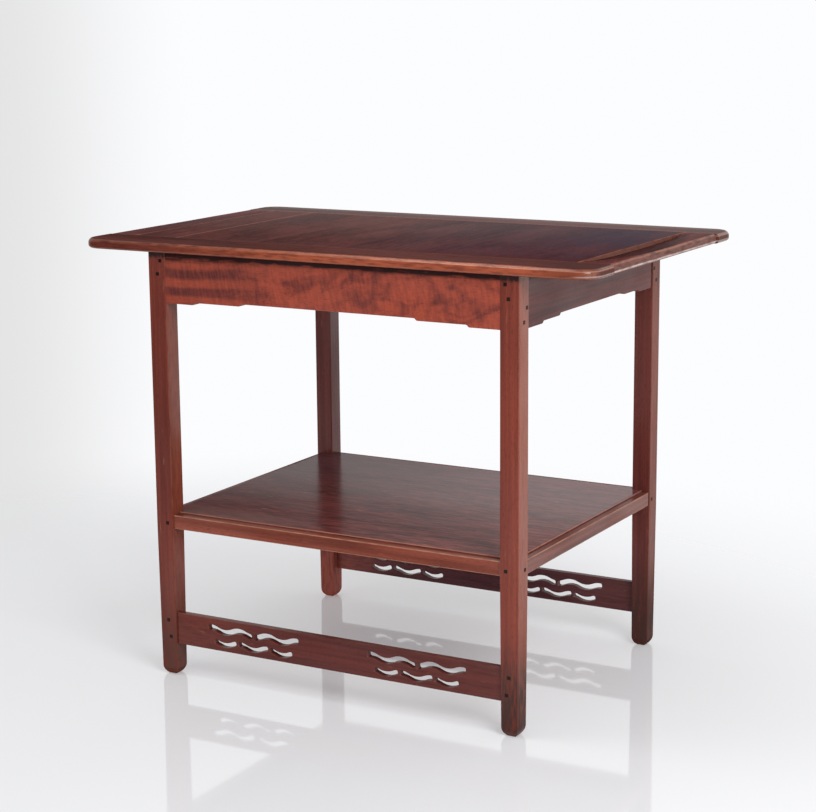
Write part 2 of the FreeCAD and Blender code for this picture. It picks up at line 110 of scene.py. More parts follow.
def grain_noise(place, grain, along, across, seed, detail=2.0, distortion=0.0):
    """Noise with `along` waves per metre along the grain and `across` waves per metre across it."""
    scale = [across] * 3
    scale[AXES[grain]] = along
    shift = tuple(seed * step for step in SEED_STEP)
    inputs = {0: place, 1: tuple(scale), 2: shift}
    stretched = place.node("ShaderNodeVectorMath", inputs, operation="MULTIPLY_ADD")
    inputs = {"Vector": stretched, "Scale": 1.0, "Detail": detail, "Distortion": distortion}
    return place.node("ShaderNodeTexNoise", inputs)


def part_of(vector, axis):
    """One part of a vector field."""
    return vector.node("ShaderNodeSeparateXYZ", {0: vector}, output=AXES[axis])


print("noise along", ", ".join(AXES))

# %% [markdown]
# ## Where a surface is worn, and where light and shade are painted
#
# Wear and dirt follow the shape of the real table: edges are rubbed and feet are grimy. Painted light and
# shade follow it too: a painted shadow under the top, and faces painted lighter where light falls on them.
# Such marks could be painted by hand. Here each function gives a field that is 1 where something happened and
# 0 elsewhere, from the normal or from the place, so that one rule serves many pieces.


# %% Shares from the normal
def rounded_edges(place, low=0.99, high=0.8):
    """1 on rounded arrises and 0 on flat faces, from how far the normal leans off every axis."""
    normal = place.node("ShaderNodeNewGeometry", {}, output="Normal")
    unsigned = place.node("ShaderNodeVectorMath", {0: normal}, operation="ABSOLUTE")
    larger = part_of(unsigned, "x").maths("MAXIMUM", part_of(unsigned, "y"))
    return larger.maths("MAXIMUM", part_of(unsigned, "z")).step(low, high)


def facing(place, axis, sign, low=0.45, high=0.8):
    """1 on faces that point along an axis; a sign of 0 takes both ways."""
    normal = place.node("ShaderNodeNewGeometry", {}, output="Normal")
    part = part_of(normal, axis)
    return (part * sign if sign else abs(part)).step(low, high)


print("shares from the normal: rounded edges, facing")

# %% Shares from the place
CORE_SHARE = 0.15


def near(place, axis, position, reach):
    """1 at a position along an axis, fading to 0 at a distance from it."""
    return abs(part_of(place, axis) - position).step(reach, reach * CORE_SHARE)


def ramp(place, axis, low, high):
    """0 before a place on an axis and 1 past another."""
    return part_of(place, axis).step(low, high)


def patch(place, x, x_reach, y, y_reach):
    """A soft patch round a point of a level face."""
    return near(place, "x", x, x_reach) * near(place, "y", y, y_reach)


print("shares from the place: near, ramp, patch")

# %% Shares from both, and small marks
WORN_TURN = (0.25, 0.6)
LEAST_WEAR = 0.06
SCUFF_LIMITS = (0.70, 0.76)


def worn_face(place, axis, sign, low, high):
    """Faces that point one way, hardly worn at one end of x and fully at the other."""
    amount = ramp(place, "x", low, high) * (1.0 - LEAST_WEAR) + LEAST_WEAR
    return facing(place, axis, sign, *WORN_TURN) * amount


def level_line(place, level, reach, low, high):
    """A thin level line on the upright faces, towards one end of x."""
    return near(place, "z", level, reach) * (1.0 - facing(place, "z", 0)) * ramp(place, "x", low, high)


def scuffs(place, grain, seed):
    """Small marks, drawn out along the grain."""
    return grain_noise(place, grain, along=28.0, across=170.0, seed=seed, detail=1.0).step(*SCUFF_LIMITS)


print("shares from both: worn face, level line; small marks: scuffs")

# %% [markdown]
# ## The tone of the wood
#
# Mahogany runs from dark to light in broad bands with finer ones between them. A picture of a board could
# give this, but noise needs no picture and runs through a piece in three dimensions, as real grain does.
# Three mixtures of broad and fine noise make plain wood, a faded top and a streaked shelf.

# %% Plain, faded and streaked wood
NOISE_SPREAD = (0.3, 0.7)
STREAK_SPREAD = (0.33, 0.67)
LINE_SPREAD = (0.35, 0.65)


def wood_tone(place, grain, seed):
    """A field from dark to light wood."""
    broad = grain_noise(place, grain, along=1.6, across=16.0, seed=seed, detail=3.0).step(*NOISE_SPREAD)
    bands = grain_noise(place, grain, along=4.0, across=150.0, seed=seed + 5, detail=4.0).step(*NOISE_SPREAD)
    return broad * 0.5 + bands * 0.5


def faded_tone(place, grain, seed):
    """A softer field, for a top that has lost most of its pattern: clouds and short flecks."""
    clouds = grain_noise(place, grain, along=4.0, across=9.0, seed=seed, detail=4.0, distortion=0.5)
    bands = grain_noise(place, grain, along=5.0, across=90.0, seed=seed + 5, detail=3.0)
    flecks = grain_noise(place, grain, along=45.0, across=420.0, seed=seed + 8, detail=2.0)
    clouds, bands, flecks = (noise.step(*NOISE_SPREAD) for noise in (clouds, bands, flecks))
    return clouds * 0.45 + bands * 0.2 + flecks * 0.35


def streaked_tone(place, grain, seed):
    """A field from dark to light in broken streaks and short fine lines."""
    clouds = grain_noise(place, grain, along=3.0, across=12.0, seed=seed + 2, detail=3.0)
    streaks = grain_noise(place, grain, along=7.0, across=48.0, seed=seed, detail=6.0, distortion=0.4)
    lines = grain_noise(place, grain, along=30.0, across=170.0, seed=seed + 5, detail=3.0)
    broken = 0.2 * clouds.step(*NOISE_SPREAD) + 0.35 * streaks.step(*STREAK_SPREAD)
    return broken + 0.45 * lines.step(*LINE_SPREAD)


print("tones: wood, faded, streaked")

# %% [markdown]
# ## Figured wood
#
# The front apron is the showpiece: level dark bands at its left end, mottling over the rest, and a fine
# ripple that leans a little off the upright. A Wave texture could make the bands, but a cosine of the height,
# shifted by noise, is easier to place. The ripple is noise with its many waves along the grain, on turned
# coordinates.

# %% Bands, mottling and ripple
BAND_PITCH = 0.032
BAND_LEVEL = 0.690
BAND_SWAY = 0.03
BAND_EDGE = 0.8
BAND_LEAST = 0.05
BANDS_FADE_IN = (-0.08, -0.22)
MOTTLE_SPREAD = (0.3, 0.6)
MOTTLE_LEAST = 0.15
RIPPLE_LEAN = 0.2
RIPPLE_SHARE = 0.3


def figured_tone(place, grain, seed):
    """From dark to light for figured wood: level bands at one end, mottling, and a ripple over all."""
    across = (0.0, 1.0, 0.0) if grain == "x" else (1.0, 0.0, 0.0)
    inputs = {"Vector": place, "Axis": across, "Angle": RIPPLE_LEAN}
    slanted = place.node("ShaderNodeVectorRotate", inputs, rotation_type="AXIS_ANGLE")
    sway = grain_noise(place, grain, along=5.0, across=14.0, seed=seed, detail=3.0)
    level = part_of(place, "z") - BAND_LEVEL + BAND_SWAY * sway
    bands = (level * (2.0 * math.pi / BAND_PITCH)).maths("COSINE").step(-BAND_EDGE, BAND_EDGE)
    mottle = grain_noise(slanted, grain, along=24.0, across=42.0, seed=seed + 6, detail=2.5, distortion=0.6)
    mottle = MOTTLE_LEAST + (1.0 - MOTTLE_LEAST) * mottle.step(*MOTTLE_SPREAD)
    ripple = grain_noise(slanted, grain, along=210.0, across=40.0, seed=seed + 2, detail=2.0)
    end = part_of(place, grain).step(*BANDS_FADE_IN)
    patches = (1.0 - end) * mottle + end * (BAND_LEAST + (1.0 - BAND_LEAST) * bands)
    return (1.0 - RIPPLE_SHARE) * patches + RIPPLE_SHARE * ripple.step(*NOISE_SPREAD)


print("bands every", BAND_PITCH, "m, fading in between", *BANDS_FADE_IN, "m along the grain")

# %% [markdown]
# ## Varnished mahogany
#
# One function makes every wooden surface: a tone, pores as short dark dashes, layers of wear and dirt and of
# painted light and shade, and a varnish. Each piece could have a node tree built by hand, but then a change to
# the wood means many edits. A layer is a share of the surface with its own strength and colour. The varnish is
# the clear coat alone, with the wood's own specular off, so that one value sets the gloss: thin on the top and
# thicker on the frame.


# %% Materials
def new_material(name):
    """A material, its Principled shader and a field to start from."""
    material = bpy.data.materials.new(name)
    material.use_nodes = True
    shader = material.node_tree.nodes["Principled BSDF"]
    return material, shader, Field(material.node_tree)


def connect(field, shader, socket):
    """Links a field to an input of a shader."""
    field.tree.links.new(field.socket, shader.inputs[socket])


def opaque(colour):
    """A colour with the fourth value that the nodes take."""
    return (*colour, 1.0)


print("helpers for materials")

# %% Layers and coats
BREAK_SHARE = 0.6
COAT_LEAST_SHARE = 0.75
COAT_SWING_SHARE = 0.5
SHINE_SPREAD = (0.2, 0.8)

Layer = namedtuple("Layer", "share arguments strength colour")
Coat = namedtuple("Coat", "share arguments more")


def cover(colour, place, breaks, layers):
    """A colour with layers over it, each a little broken up."""
    for layer in layers:
        whole = breaks * BREAK_SHARE + (1.0 - BREAK_SHARE)
        share = layer.share(place, *layer.arguments) * whole * layer.strength
        colour = share.mix(colour, opaque(layer.colour))
    return colour


def varnish(place, shine, coat, coats):
    """The weight of the clear coat: uneven, with more or less of it where the coats say."""
    weight = shine.step(*SHINE_SPREAD) * (coat * COAT_SWING_SHARE) + coat * COAT_LEAST_SHARE
    for extra in coats:
        weight = weight + extra.share(place, *extra.arguments) * extra.more
    return weight


print("a layer has", ", ".join(Layer._fields), "and a coat has", ", ".join(Coat._fields))

# %% The mahogany function
WORN = (0.360, 0.130, 0.070)
PORE_LIMITS = (0.42, 0.3)
PORE_SHADE = 0.35
PORE_STRENGTH = 0.45
BREAK_LIMITS = (0.3, 0.65)
LEAST_ROUGHNESS = 0.4
ROUGHNESS_SWING = 0.2
COAT_ROUGHNESS = 0.2
PORE_WALLS = (0.3, 0.5)
PORE_HEIGHT = 0.5
BREAK_HEIGHT = 0.2
BUMP_STRENGTH = 0.12
BUMP_DEPTH = 0.0006


def mahogany(name, grain, seed, tones, coat, tone=wood_tone, layers=(), coats=(), wear=0.5, worn=WORN):
    """Varnished wood with its grain along an axis."""
    material, shader, start = new_material(name)
    dark, light = tones
    place = start.node("ShaderNodeTexCoord", {}, output="Object")
    colour = tone(place, grain, seed).mix(opaque(dark), opaque(light))
    pores = grain_noise(place, grain, along=110.0, across=1500.0, seed=seed + 9, detail=1.0)
    pore_colour = opaque(value * PORE_SHADE for value in dark)
    colour = (pores.step(*PORE_LIMITS) * PORE_STRENGTH).mix(colour, pore_colour)
    breaks = grain_noise(place, grain, along=40.0, across=220.0, seed=seed + 3, detail=4.0)
    breaks = breaks.step(*BREAK_LIMITS)
    colour = cover(colour, place, breaks, layers)
    colour = (rounded_edges(place) * breaks * wear).mix(colour, opaque(worn))
    connect(colour, shader, "Base Color")
    shine = grain_noise(place, grain, along=7.0, across=26.0, seed=seed + 4, detail=2.0)
    connect(shine * ROUGHNESS_SWING + LEAST_ROUGHNESS, shader, "Roughness")
    connect(varnish(place, shine, coat, coats), shader, "Coat Weight")
    height = pores.step(*PORE_WALLS) * PORE_HEIGHT + breaks * BREAK_HEIGHT
    bump = {"Height": height, "Strength": BUMP_STRENGTH, "Distance": BUMP_DEPTH}
    connect(place.node("ShaderNodeBump", bump), shader, "Normal")
    shader.inputs["Specular IOR Level"].default_value = 0.0
    shader.inputs["Coat Roughness"].default_value = COAT_ROUGHNESS
    return material


print("one function for every wooden piece")


# %% Dressing a piece
def dress(node, material):
    """Gives a CAD node its material."""
    piece = nodes[node]
    piece.data.materials.clear()
    piece.data.materials.append(material)


def dress_in_wood(node, slot, *wood, **finish):
    """Gives a CAD node mahogany of its own, named after it."""
    dress(node, mahogany(node, *wood, **finish))



# %% [markdown]
# ## Top boards
#
# The boards of the top run from front to back, and most of their pattern has faded. The right end is darkened
# and turned bluish as painted shade, the ends by the front cleat are darker, and some joints show as light
# lines. The walls of the scoops are painted lighter, as lit. One dark texture could be laid over the whole
# top, but separate layers can be placed and weakened one by one. The sheen grows towards the back, where the
# photo shows more of it, and shrinks to the right.

# %% Joints and sheen
TOP_COAT = 0.04
FRONT_JOINT_REACH = 0.003
BACK_JOINT_REACH = 0.007
SCOOP_JOINT_REACH = 0.005
SHEEN_SPAN = ("y", -0.22, 0.22)
DULL_SPAN = ("x", 0.0, 0.3)

scoop_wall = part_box("top_board_6")[1].x
cleat_low, cleat_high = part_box("top_cleat_back")
cleat_joint = cleat_low.y
joints = [Layer(near, ("y", -cleat_joint, FRONT_JOINT_REACH), strength=0.2, colour=WORN),
          Layer(near, ("y", cleat_joint, BACK_JOINT_REACH), strength=0.55, colour=WORN)]
end_joints = joints + [Layer(near, ("x", x, SCOOP_JOINT_REACH), strength=0.7, colour=WORN)
                       for x in (scoop_wall, -scoop_wall)]
top_sheen = [Coat(ramp, SHEEN_SPAN, more=0.09), Coat(ramp, DULL_SPAN, more=-0.03)]
print("scoop walls at", round(scoop_wall, 4), "m, cleat joints at", round(cleat_joint, 4), "m")

# %% Top boards
TOP_TONES = ((0.024, 0.005, 0.005), (0.165, 0.043, 0.035))
BLUISH_SHADE = (0.052, 0.031, 0.050)
BLUISH_SPAN = ("x", -0.15, 0.28)
NAVY_SHADE = (0.016, 0.014, 0.045)
NAVY_PATCH = (0.34, 0.10, 0.10, 0.20)
FRONT_ENDS = (0.085, 0.022, 0.020)
FRONT_ENDS_REACH = 0.06
LIT_SCOOP_WALL = (0.190, 0.084, 0.068)
LIGHT_JOINT_REACH = 0.004
TOP_BOARD_COUNT = 6
TOP_SEED_STEP = 3.0

front_ends = ("y", FRONT_ENDS_REACH - cleat_joint, -cleat_joint)
# The first two layers are painted shade: the right end darker and bluish, with a darker bluish patch towards
# the back.
shades = [Layer(ramp, BLUISH_SPAN, strength=0.65, colour=BLUISH_SHADE),
          Layer(patch, NAVY_PATCH, strength=0.45, colour=NAVY_SHADE),
          Layer(ramp, front_ends, strength=0.5, colour=FRONT_ENDS)]
# Painted light: the walls of the scoops, facing x, are lighter, as lit from the right.
lit_wall = Layer(facing, ("x", 0), strength=0.9, colour=LIT_SCOOP_WALL)
first_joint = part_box("top_board_1")[1].x
light_joint = Layer(near, ("x", first_joint, LIGHT_JOINT_REACH), strength=0.55, colour=WORN)
for number in range(1, TOP_BOARD_COUNT + 1):
    outer = number in (1, TOP_BOARD_COUNT)
    layers = shades + (end_joints + [lit_wall] if outer else joints) + [light_joint]
    dress_in_wood("top_board_" + str(number), "top_mahogany", "y", number * TOP_SEED_STEP, TOP_TONES, TOP_COAT,
                  tone=faded_tone, layers=layers, coats=top_sheen)
print(TOP_BOARD_COUNT, "top boards dressed")

# %% [markdown]
# ## End boards
#
# A narrow board at each end has a hand scoop, a shallow hollow, which is darker than the top. The darkening
# could be painted in, but the hollow is lower than the top, so the height finds it. The end face is lower too,
# so its own worn colour comes after the darkening, with a painted highlight along the lower edge at the right.

# %% End boards
END_TONES = ((0.030, 0.008, 0.009), (0.190, 0.058, 0.053))
END_EDGE = (0.230, 0.115, 0.098)
NEAR_BLACK = (0.020, 0.010, 0.010)
HOLLOW_DEPTHS = (0.0002, 0.0016)
# A painted highlight colour, for thin lit lines along rounded edges.
PALE_HIGHLIGHT = (0.620, 0.520, 0.490)
END_LINE_RISE = 0.0034
END_LINE_REACH = 0.0024
END_LINE_SPAN = (0.3, 0.4)

top_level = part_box("top_board_3")[1].z
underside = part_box("top_board_3")[0].z
scoop = ("z", *(top_level - depth for depth in HOLLOW_DEPTHS))
# A painted highlight along the lower edge at the right, where the rounding would catch light from the floor.
lower_highlight = (underside + END_LINE_RISE, END_LINE_REACH, *END_LINE_SPAN)
for seed, side, darkening in ((31.0, "left", 0.3), (37.0, "right", 0.7)):
    # Darker where the hollow lies below the top.
    layers = end_joints + [Layer(ramp, scoop, strength=darkening, colour=NEAR_BLACK),
                           Layer(facing, ("x", 0), strength=0.85, colour=END_EDGE),
                           Layer(level_line, lower_highlight, strength=1.0, colour=PALE_HIGHLIGHT)]
    coats = [Coat(rounded_edges, (), more=0.3), *top_sheen]
    dress_in_wood("top_end_board_" + side, "top_mahogany", "y", seed, END_TONES, TOP_COAT,
                  tone=faded_tone, layers=layers, coats=coats, wear=0.7)
print("two end boards dressed, underside at", round(underside, 4), "m")

# %% [markdown]
# ## Cleats
#
# The cleats cover the ends of the boards at the front and the back. The outer edge is worn from dark red at
# the left to orange, with a thin painted glint along its upper rounding towards the right. It could be a
# material of its own on those faces, but the wear has no border, so it is a layer that grows along x. A
# painted highlight runs along the lower edge at the right end, and the back cleat has a painted grey sheen.

# %% Marks on the cleats
CLEAT_LIGHT_SPAN = ("x", -0.30, 0.15)
EDGE_WEAR_SPAN = (-0.42, 0.0)
GLINT_DROP = 0.004
GLINT_REACH = 0.0012
GLINT_SPAN = (-0.2, 0.25)
CLEAT_LINE_RISE = 0.0046
CLEAT_LINE_REACH = 0.0018
CLEAT_LINE_SPAN = (0.42, 0.45)
CLEAT_DIRT_SPAN = ("x", 0.34, 0.42)
SHEEN_INSETS = (0.03, 0.012)
CLEAT_SHEEN_SPAN = ("y", 0.0, 0.22)

glint_line = (top_level - GLINT_DROP, GLINT_REACH, *GLINT_SPAN)
# The cleats get the same painted highlight along their lower edge.
lower_highlight = (underside + CLEAT_LINE_RISE, CLEAT_LINE_REACH, *CLEAT_LINE_SPAN)
back_sheen = ("y", cleat_joint + SHEEN_INSETS[0], cleat_high.y - SHEEN_INSETS[1])
print("glint at", round(glint_line[0], 4), "m and pale line at", round(lower_highlight[0], 4), "m")

# %% Cleats
CLEAT_TONES = ((0.026, 0.005, 0.004), (0.125, 0.028, 0.021))
CLEAT_LIGHT = (0.150, 0.048, 0.040)
EDGE = (0.345, 0.082, 0.040)
WALL = (0.200, 0.080, 0.062)
GLINT = (0.800, 0.430, 0.300)
# A painted grey sheen, on the back cleat and on the shelf.
GREY_SHEEN = (0.230, 0.125, 0.105)

for seed, side, sign, sheen_strength in ((41.0, "front", -1, 0.0), (47.0, "back", 1, 0.75)):
    layers = joints + [
        Layer(ramp, CLEAT_LIGHT_SPAN, strength=0.55, colour=CLEAT_LIGHT),
        Layer(worn_face, ("y", sign, *EDGE_WEAR_SPAN), strength=0.95, colour=EDGE),
        Layer(facing, ("x", 0), strength=0.7, colour=WALL),
        # A painted highlight: a thin glint along the upper rounding.
        Layer(level_line, glint_line, strength=0.6, colour=GLINT),
        Layer(level_line, lower_highlight, strength=0.9, colour=PALE_HIGHLIGHT),
        Layer(ramp, CLEAT_DIRT_SPAN, strength=0.45, colour=NEAR_BLACK),
        # A painted grey sheen on the back cleat.
        Layer(ramp, back_sheen, strength=sheen_strength, colour=GREY_SHEEN),
    ]
    coats = [Coat(rounded_edges, (), more=0.7), Coat(ramp, CLEAT_SHEEN_SPAN, more=0.16)]
    dress_in_wood("top_cleat_" + side, "top_mahogany", "x", seed, CLEAT_TONES, TOP_COAT,
                  tone=faded_tone, layers=layers, coats=coats, wear=0.3)
print("two cleats dressed")

# %% [markdown]
# ## Legs
#
# The legs are red-brown, and each has its own look. Their tones are darkened as painted shade, most at the
# back, where they are bluer too, and least at the front right. On three of them the face to the right is
# painted lighter, as lit from the right, and the foot is dark with grime, while painted light makes the foot
# of the back left one redder. Four materials could be built one after the other. A table of traits and one
# loop keep them alike where they are alike. Under the top, a painted shadow makes a dark line.

# %% Traits of the legs
LEG_TONES = ((0.115, 0.020, 0.013), (0.250, 0.048, 0.028))
GRIME = (0.055, 0.023, 0.019)
LIGHT_GRIME = (0.105, 0.038, 0.029)
# This red is painted light, where light reaches low on the back left leg and the left end of the back
# stretcher.
LIT_RED = (0.330, 0.085, 0.060)

# The first trait tints a leg's tones as painted shade, and the second is the share of painted light on its
# face to the right.
LegLook = namedtuple("LegLook", "tint faded coat foot_colour arris_coat")
LEG_LOOKS = {
    "leg_back_left": LegLook((0.70, 0.92, 1.30), 0.0, 0.7, LIT_RED, -0.4),
    "leg_back_right": LegLook((0.72, 0.90, 1.20), 0.3, 0.45, GRIME, -0.3),
    "leg_front_left": LegLook((0.85, 0.80, 0.80), 0.3, 0.7, LIGHT_GRIME, -0.5),
    "leg_front_right": LegLook((1.0, 0.98, 0.96), 0.45, 0.7, GRIME, 0.15),
}
print("traits of a leg:", ", ".join(LegLook._fields))

# %% Legs
# Painted light, for the faces to the right.
RIGHT_FACE_LIGHT = (0.340, 0.110, 0.060)
# The colour of the painted shadow under the top.
UNDER_TOP = (0.024, 0.006, 0.006)
SHADOW_LINE_REACH = 0.0135
FOOT_SPAN = ("z", 0.20, 0.02)
FOOT_COAT_SHARE = -0.6
LEG_SEED = 50.0
LEG_SEED_STEP = 2
LEG_SCUFF_SEED = 7.0
ARRIS = (0.995, 0.93)  # limits of rounded_edges that catch more of a small arris

under_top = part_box("apron_front")[1].z
# A painted shadow under the top, on the legs and the aprons.
shadow_line = Layer(near, ("z", under_top, SHADOW_LINE_REACH), strength=2.2, colour=UNDER_TOP)
for index, (name, look) in enumerate(LEG_LOOKS.items()):
    tones = [tuple(value * share for value, share in zip(tone, look.tint)) for tone in LEG_TONES]
    layers = [
        Layer(scuffs, ("z", LEG_SCUFF_SEED + index), strength=0.3, colour=WORN),
        shadow_line,
        # Painted light: the face to the right is lighter, as lit from the right.
        Layer(facing, ("x", 1), strength=look.faded, colour=RIGHT_FACE_LIGHT),
        # The foot colour is grime on three legs and painted light on the back left one.
        Layer(ramp, FOOT_SPAN, strength=1.3, colour=look.foot_colour),
    ]
    coats = [Coat(ramp, FOOT_SPAN, more=look.coat * FOOT_COAT_SHARE),
             Coat(rounded_edges, ARRIS, more=look.arris_coat)]
    dress_in_wood(name, "frame_mahogany", "z", LEG_SEED + index * LEG_SEED_STEP, tones, look.coat,
                  layers=layers, coats=coats, wear=0.15)
# The printed level is where the painted shadow under the top lies.
print(len(LEG_LOOKS), "legs dressed, with dirt at", round(under_top, 4), "m")

# %% [markdown]
# ## Aprons
#
# The front and back aprons are figured, and the end aprons plainer and browner, with their tones darkened as
# painted shade from the wide overhang. The overhanging top keeps light off their upper edge. The lamps alone
# leave that shadow too weak, so a painted shadow, a dark line with less gloss, is laid there as well. Painted
# shade also darkens the long aprons towards the left.

# %% Aprons
APRON_TONES = ((0.095, 0.020, 0.019), (0.350, 0.062, 0.033))
# The end aprons' tones are darkened as painted shade from the overhang.
SHADED_END_APRON_TONES = ((0.075, 0.022, 0.022), (0.190, 0.055, 0.048))
DULL_LINE_REACH = 0.016
LEFT_SHADOW_REACH = 0.020
LEFT_SPAN = (0.0, -0.3)
FRAME_COAT = 0.8
END_APRON_COAT = FRAME_COAT * 0.6
SIDES = {"front": ("x", 60.0), "back": ("x", 63.0), "left": ("y", 66.0), "right": ("y", 69.0)}

dull_line = Coat(near, ("z", under_top, DULL_LINE_REACH), more=-0.4)
left_shadow = (under_top, LEFT_SHADOW_REACH, *LEFT_SPAN)
# A painted shadow under the top, deeper at the left, and painted shade towards the left.
long_layers = [shadow_line, Layer(level_line, left_shadow, strength=1.8, colour=UNDER_TOP),
               Layer(ramp, ("x", *LEFT_SPAN), strength=0.15, colour=UNDER_TOP)]
long_coats = [dull_line, Coat(ramp, ("x", *LEFT_SPAN), more=-0.25)]
for side, (grain, seed) in SIDES.items():
    name = "apron_" + side
    if grain == "x":
        dress_in_wood(name, "figured_mahogany", grain, seed, APRON_TONES, FRAME_COAT,
                      tone=figured_tone, layers=long_layers, coats=long_coats)
    else:
        dress_in_wood(name, "figured_mahogany", grain, seed, SHADED_END_APRON_TONES, END_APRON_COAT,
                      layers=[shadow_line], coats=[dull_line])
print(len(SIDES), "aprons dressed")

# %% [markdown]
# ## Shelf rails
#
# Four rails frame the shelf. Their arrises are rubbed to a light tan, which draws a thin line round the
# shelf. The line could be a strip of its own, but it is only wear, so it is a layer on the rounded edges.
# Less coat on the faces that point up or to the front keeps grey reflections off the wood.

# %% Shelf rails
RAIL_TONES = {
    "x": ((0.105, 0.022, 0.014), (0.300, 0.072, 0.043)),
    "y": ((0.090, 0.024, 0.018), (0.235, 0.072, 0.054)),
}
TAN = (0.420, 0.210, 0.140)
RAIL_COAT = FRAME_COAT * 0.75
RAIL_SEED_STEP = 10.0

coats = [Coat(facing, ("z", 1), more=-0.35), Coat(facing, ("y", -1), more=-0.2)]
for side, (grain, seed) in SIDES.items():
    layers = [Layer(rounded_edges, ARRIS, strength=1.0, colour=TAN),
              Layer(scuffs, (grain, seed), strength=0.4, colour=EDGE)]
    dress_in_wood("shelf_rail_" + side, "frame_mahogany", grain, seed + RAIL_SEED_STEP, RAIL_TONES[grain],
                  RAIL_COAT, layers=layers, coats=coats)
print(len(SIDES), "shelf rails dressed")

# %% [markdown]
# ## Shelf boards
#
# The shelf is streaked along its length and has small scuffs. It is darker at the left, and has a painted grey
# sheen at the back and along the front left. Its gloss could be the same all over, but in the photo it grows
# to the back and to the right, so the coat grows that way.

# %% Shelf boards
SHELF_TONES = ((0.060, 0.016, 0.017), (0.290, 0.074, 0.064))
SHELF_DARK = (0.070, 0.020, 0.020)
SHELF_DARK_SPAN = ("x", 0.15, -0.35)
SHELF_SHEEN = (0.175, 0.090, 0.112)
SHELF_SHEEN_SPAN = ("y", -0.05, 0.22)
SHELF_SHEEN_PATCH = (-0.22, 0.2, -0.235, 0.05)
SHELF_COAT = 0.1
RIGHT_GLOSS_SPAN = ("x", -0.35, 0.3)
BACK_GLOSS_SPAN = ("y", -0.22, 0.10)
SHELF_BOARD_COUNT = 3
SHELF_SEED = 80.0
SHELF_SEED_STEP = 3
SHELF_SCUFF_SEED = 20.0

coats = [Coat(ramp, RIGHT_GLOSS_SPAN, more=0.17), Coat(ramp, BACK_GLOSS_SPAN, more=0.32)]
for number in range(1, SHELF_BOARD_COUNT + 1):
    layers = [
        Layer(ramp, SHELF_DARK_SPAN, strength=0.8, colour=SHELF_DARK),
        Layer(rounded_edges, ARRIS, strength=0.9, colour=TAN),
        Layer(scuffs, ("x", SHELF_SCUFF_SEED + number), strength=0.5, colour=TAN),
        # A painted grey sheen at the back and along the front left.
        Layer(ramp, SHELF_SHEEN_SPAN, strength=0.4, colour=SHELF_SHEEN),
        Layer(patch, SHELF_SHEEN_PATCH, strength=0.35, colour=GREY_SHEEN),
    ]
    seed = SHELF_SEED + number * SHELF_SEED_STEP
    dress_in_wood("shelf_board_" + str(number), "shelf_mahogany", "x", seed, SHELF_TONES, SHELF_COAT,
                  tone=streaked_tone, layers=layers, coats=coats, wear=0.3)
print(SHELF_BOARD_COUNT, "shelf boards dressed")

# %% [markdown]
# ## Stretchers
#
# The stretchers are darker than the frame. The waves are cut through the solid, so only the walls of the slots
# that face up need a colour, a little lighter, as painted light from above. They could be picked face by face,
# but facing finds all that point up, the upper edge too. Both stretchers are redder at the left end, where the
# red of the back one is painted light, and the front one has a painted highlight on its upper edge there.

# %% Left ends of the stretchers
LEFT_RED = (0.220, 0.045, 0.028)
FRONT_RED_SPAN = ("x", -0.10, -0.30)
BACK_RED_SPAN = ("x", -0.16, -0.30)
UPPER_LINE_REACH = 0.0014
UPPER_LINE_SPAN = (0.15, -0.25)

upper_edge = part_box("stretcher_front")[1].z
upper_line = (upper_edge, UPPER_LINE_REACH, *UPPER_LINE_SPAN)
left_ends = {
    "front": [Layer(ramp, FRONT_RED_SPAN, strength=0.4, colour=LEFT_RED),
              # A painted highlight along the upper edge towards the left.
              Layer(level_line, upper_line, strength=0.6, colour=PALE_HIGHLIGHT)],
    # Painted light on the left end of the back stretcher.
    "back": [Layer(ramp, BACK_RED_SPAN, strength=0.8, colour=LIT_RED)],
}
print("upper edge of the stretchers at", round(upper_edge, 4), "m")

# %% Stretchers
STRETCHER_TONES = ((0.045, 0.010, 0.009), (0.140, 0.030, 0.024))
BACK_STRETCHER_TONES = ((0.042, 0.011, 0.014), (0.130, 0.034, 0.040))
LIT_SLOT_WALL = (0.150, 0.045, 0.034)
SLOT_WALL_TURN = (0.8, 0.95)
STRETCHER_LIGHT = (0.130, 0.040, 0.034)
STRETCHER_LIGHT_SPAN = ("x", 0.05, 0.3)
STRETCHER_COAT = FRAME_COAT * 0.6

for seed, side, tones in ((91.0, "front", STRETCHER_TONES), (97.0, "back", BACK_STRETCHER_TONES)):
    layers = [
        Layer(scuffs, ("x", seed), strength=0.3, colour=WORN),
        # Painted light: faces that point up, the walls of the slots among them, are lighter, as lit from
        # above.
        Layer(facing, ("z", 1, *SLOT_WALL_TURN), strength=0.5, colour=LIT_SLOT_WALL),
        Layer(ramp, STRETCHER_LIGHT_SPAN, strength=0.5, colour=STRETCHER_LIGHT),
        *left_ends[side],
    ]
    dress_in_wood("stretcher_" + side, "frame_mahogany", "x", seed, tones, STRETCHER_COAT,
                  layers=layers, wear=0.15)
print("two stretchers dressed")

# %% [markdown]
# ## Pegs and buttons
#
# Square pegs of a nearly black wood, taken for ebony, hold the joints. The buttons under the top are plain
# light wood, left bare. Both could have simple colours, but the mahogany function makes wood of any tone, so
# it serves here too, with other tones and hardly any coat on the buttons.

# %% Ebony and button wood
EBONY_TONES = ((0.006, 0.002, 0.002), (0.024, 0.008, 0.006))
EBONY_COAT = 0.4
EBONY_SEED = 3.0
BUTTON_TONES = ((0.20, 0.105, 0.05), (0.36, 0.21, 0.11))
BUTTON_COAT = 0.02
BUTTON_SEED = 7.0

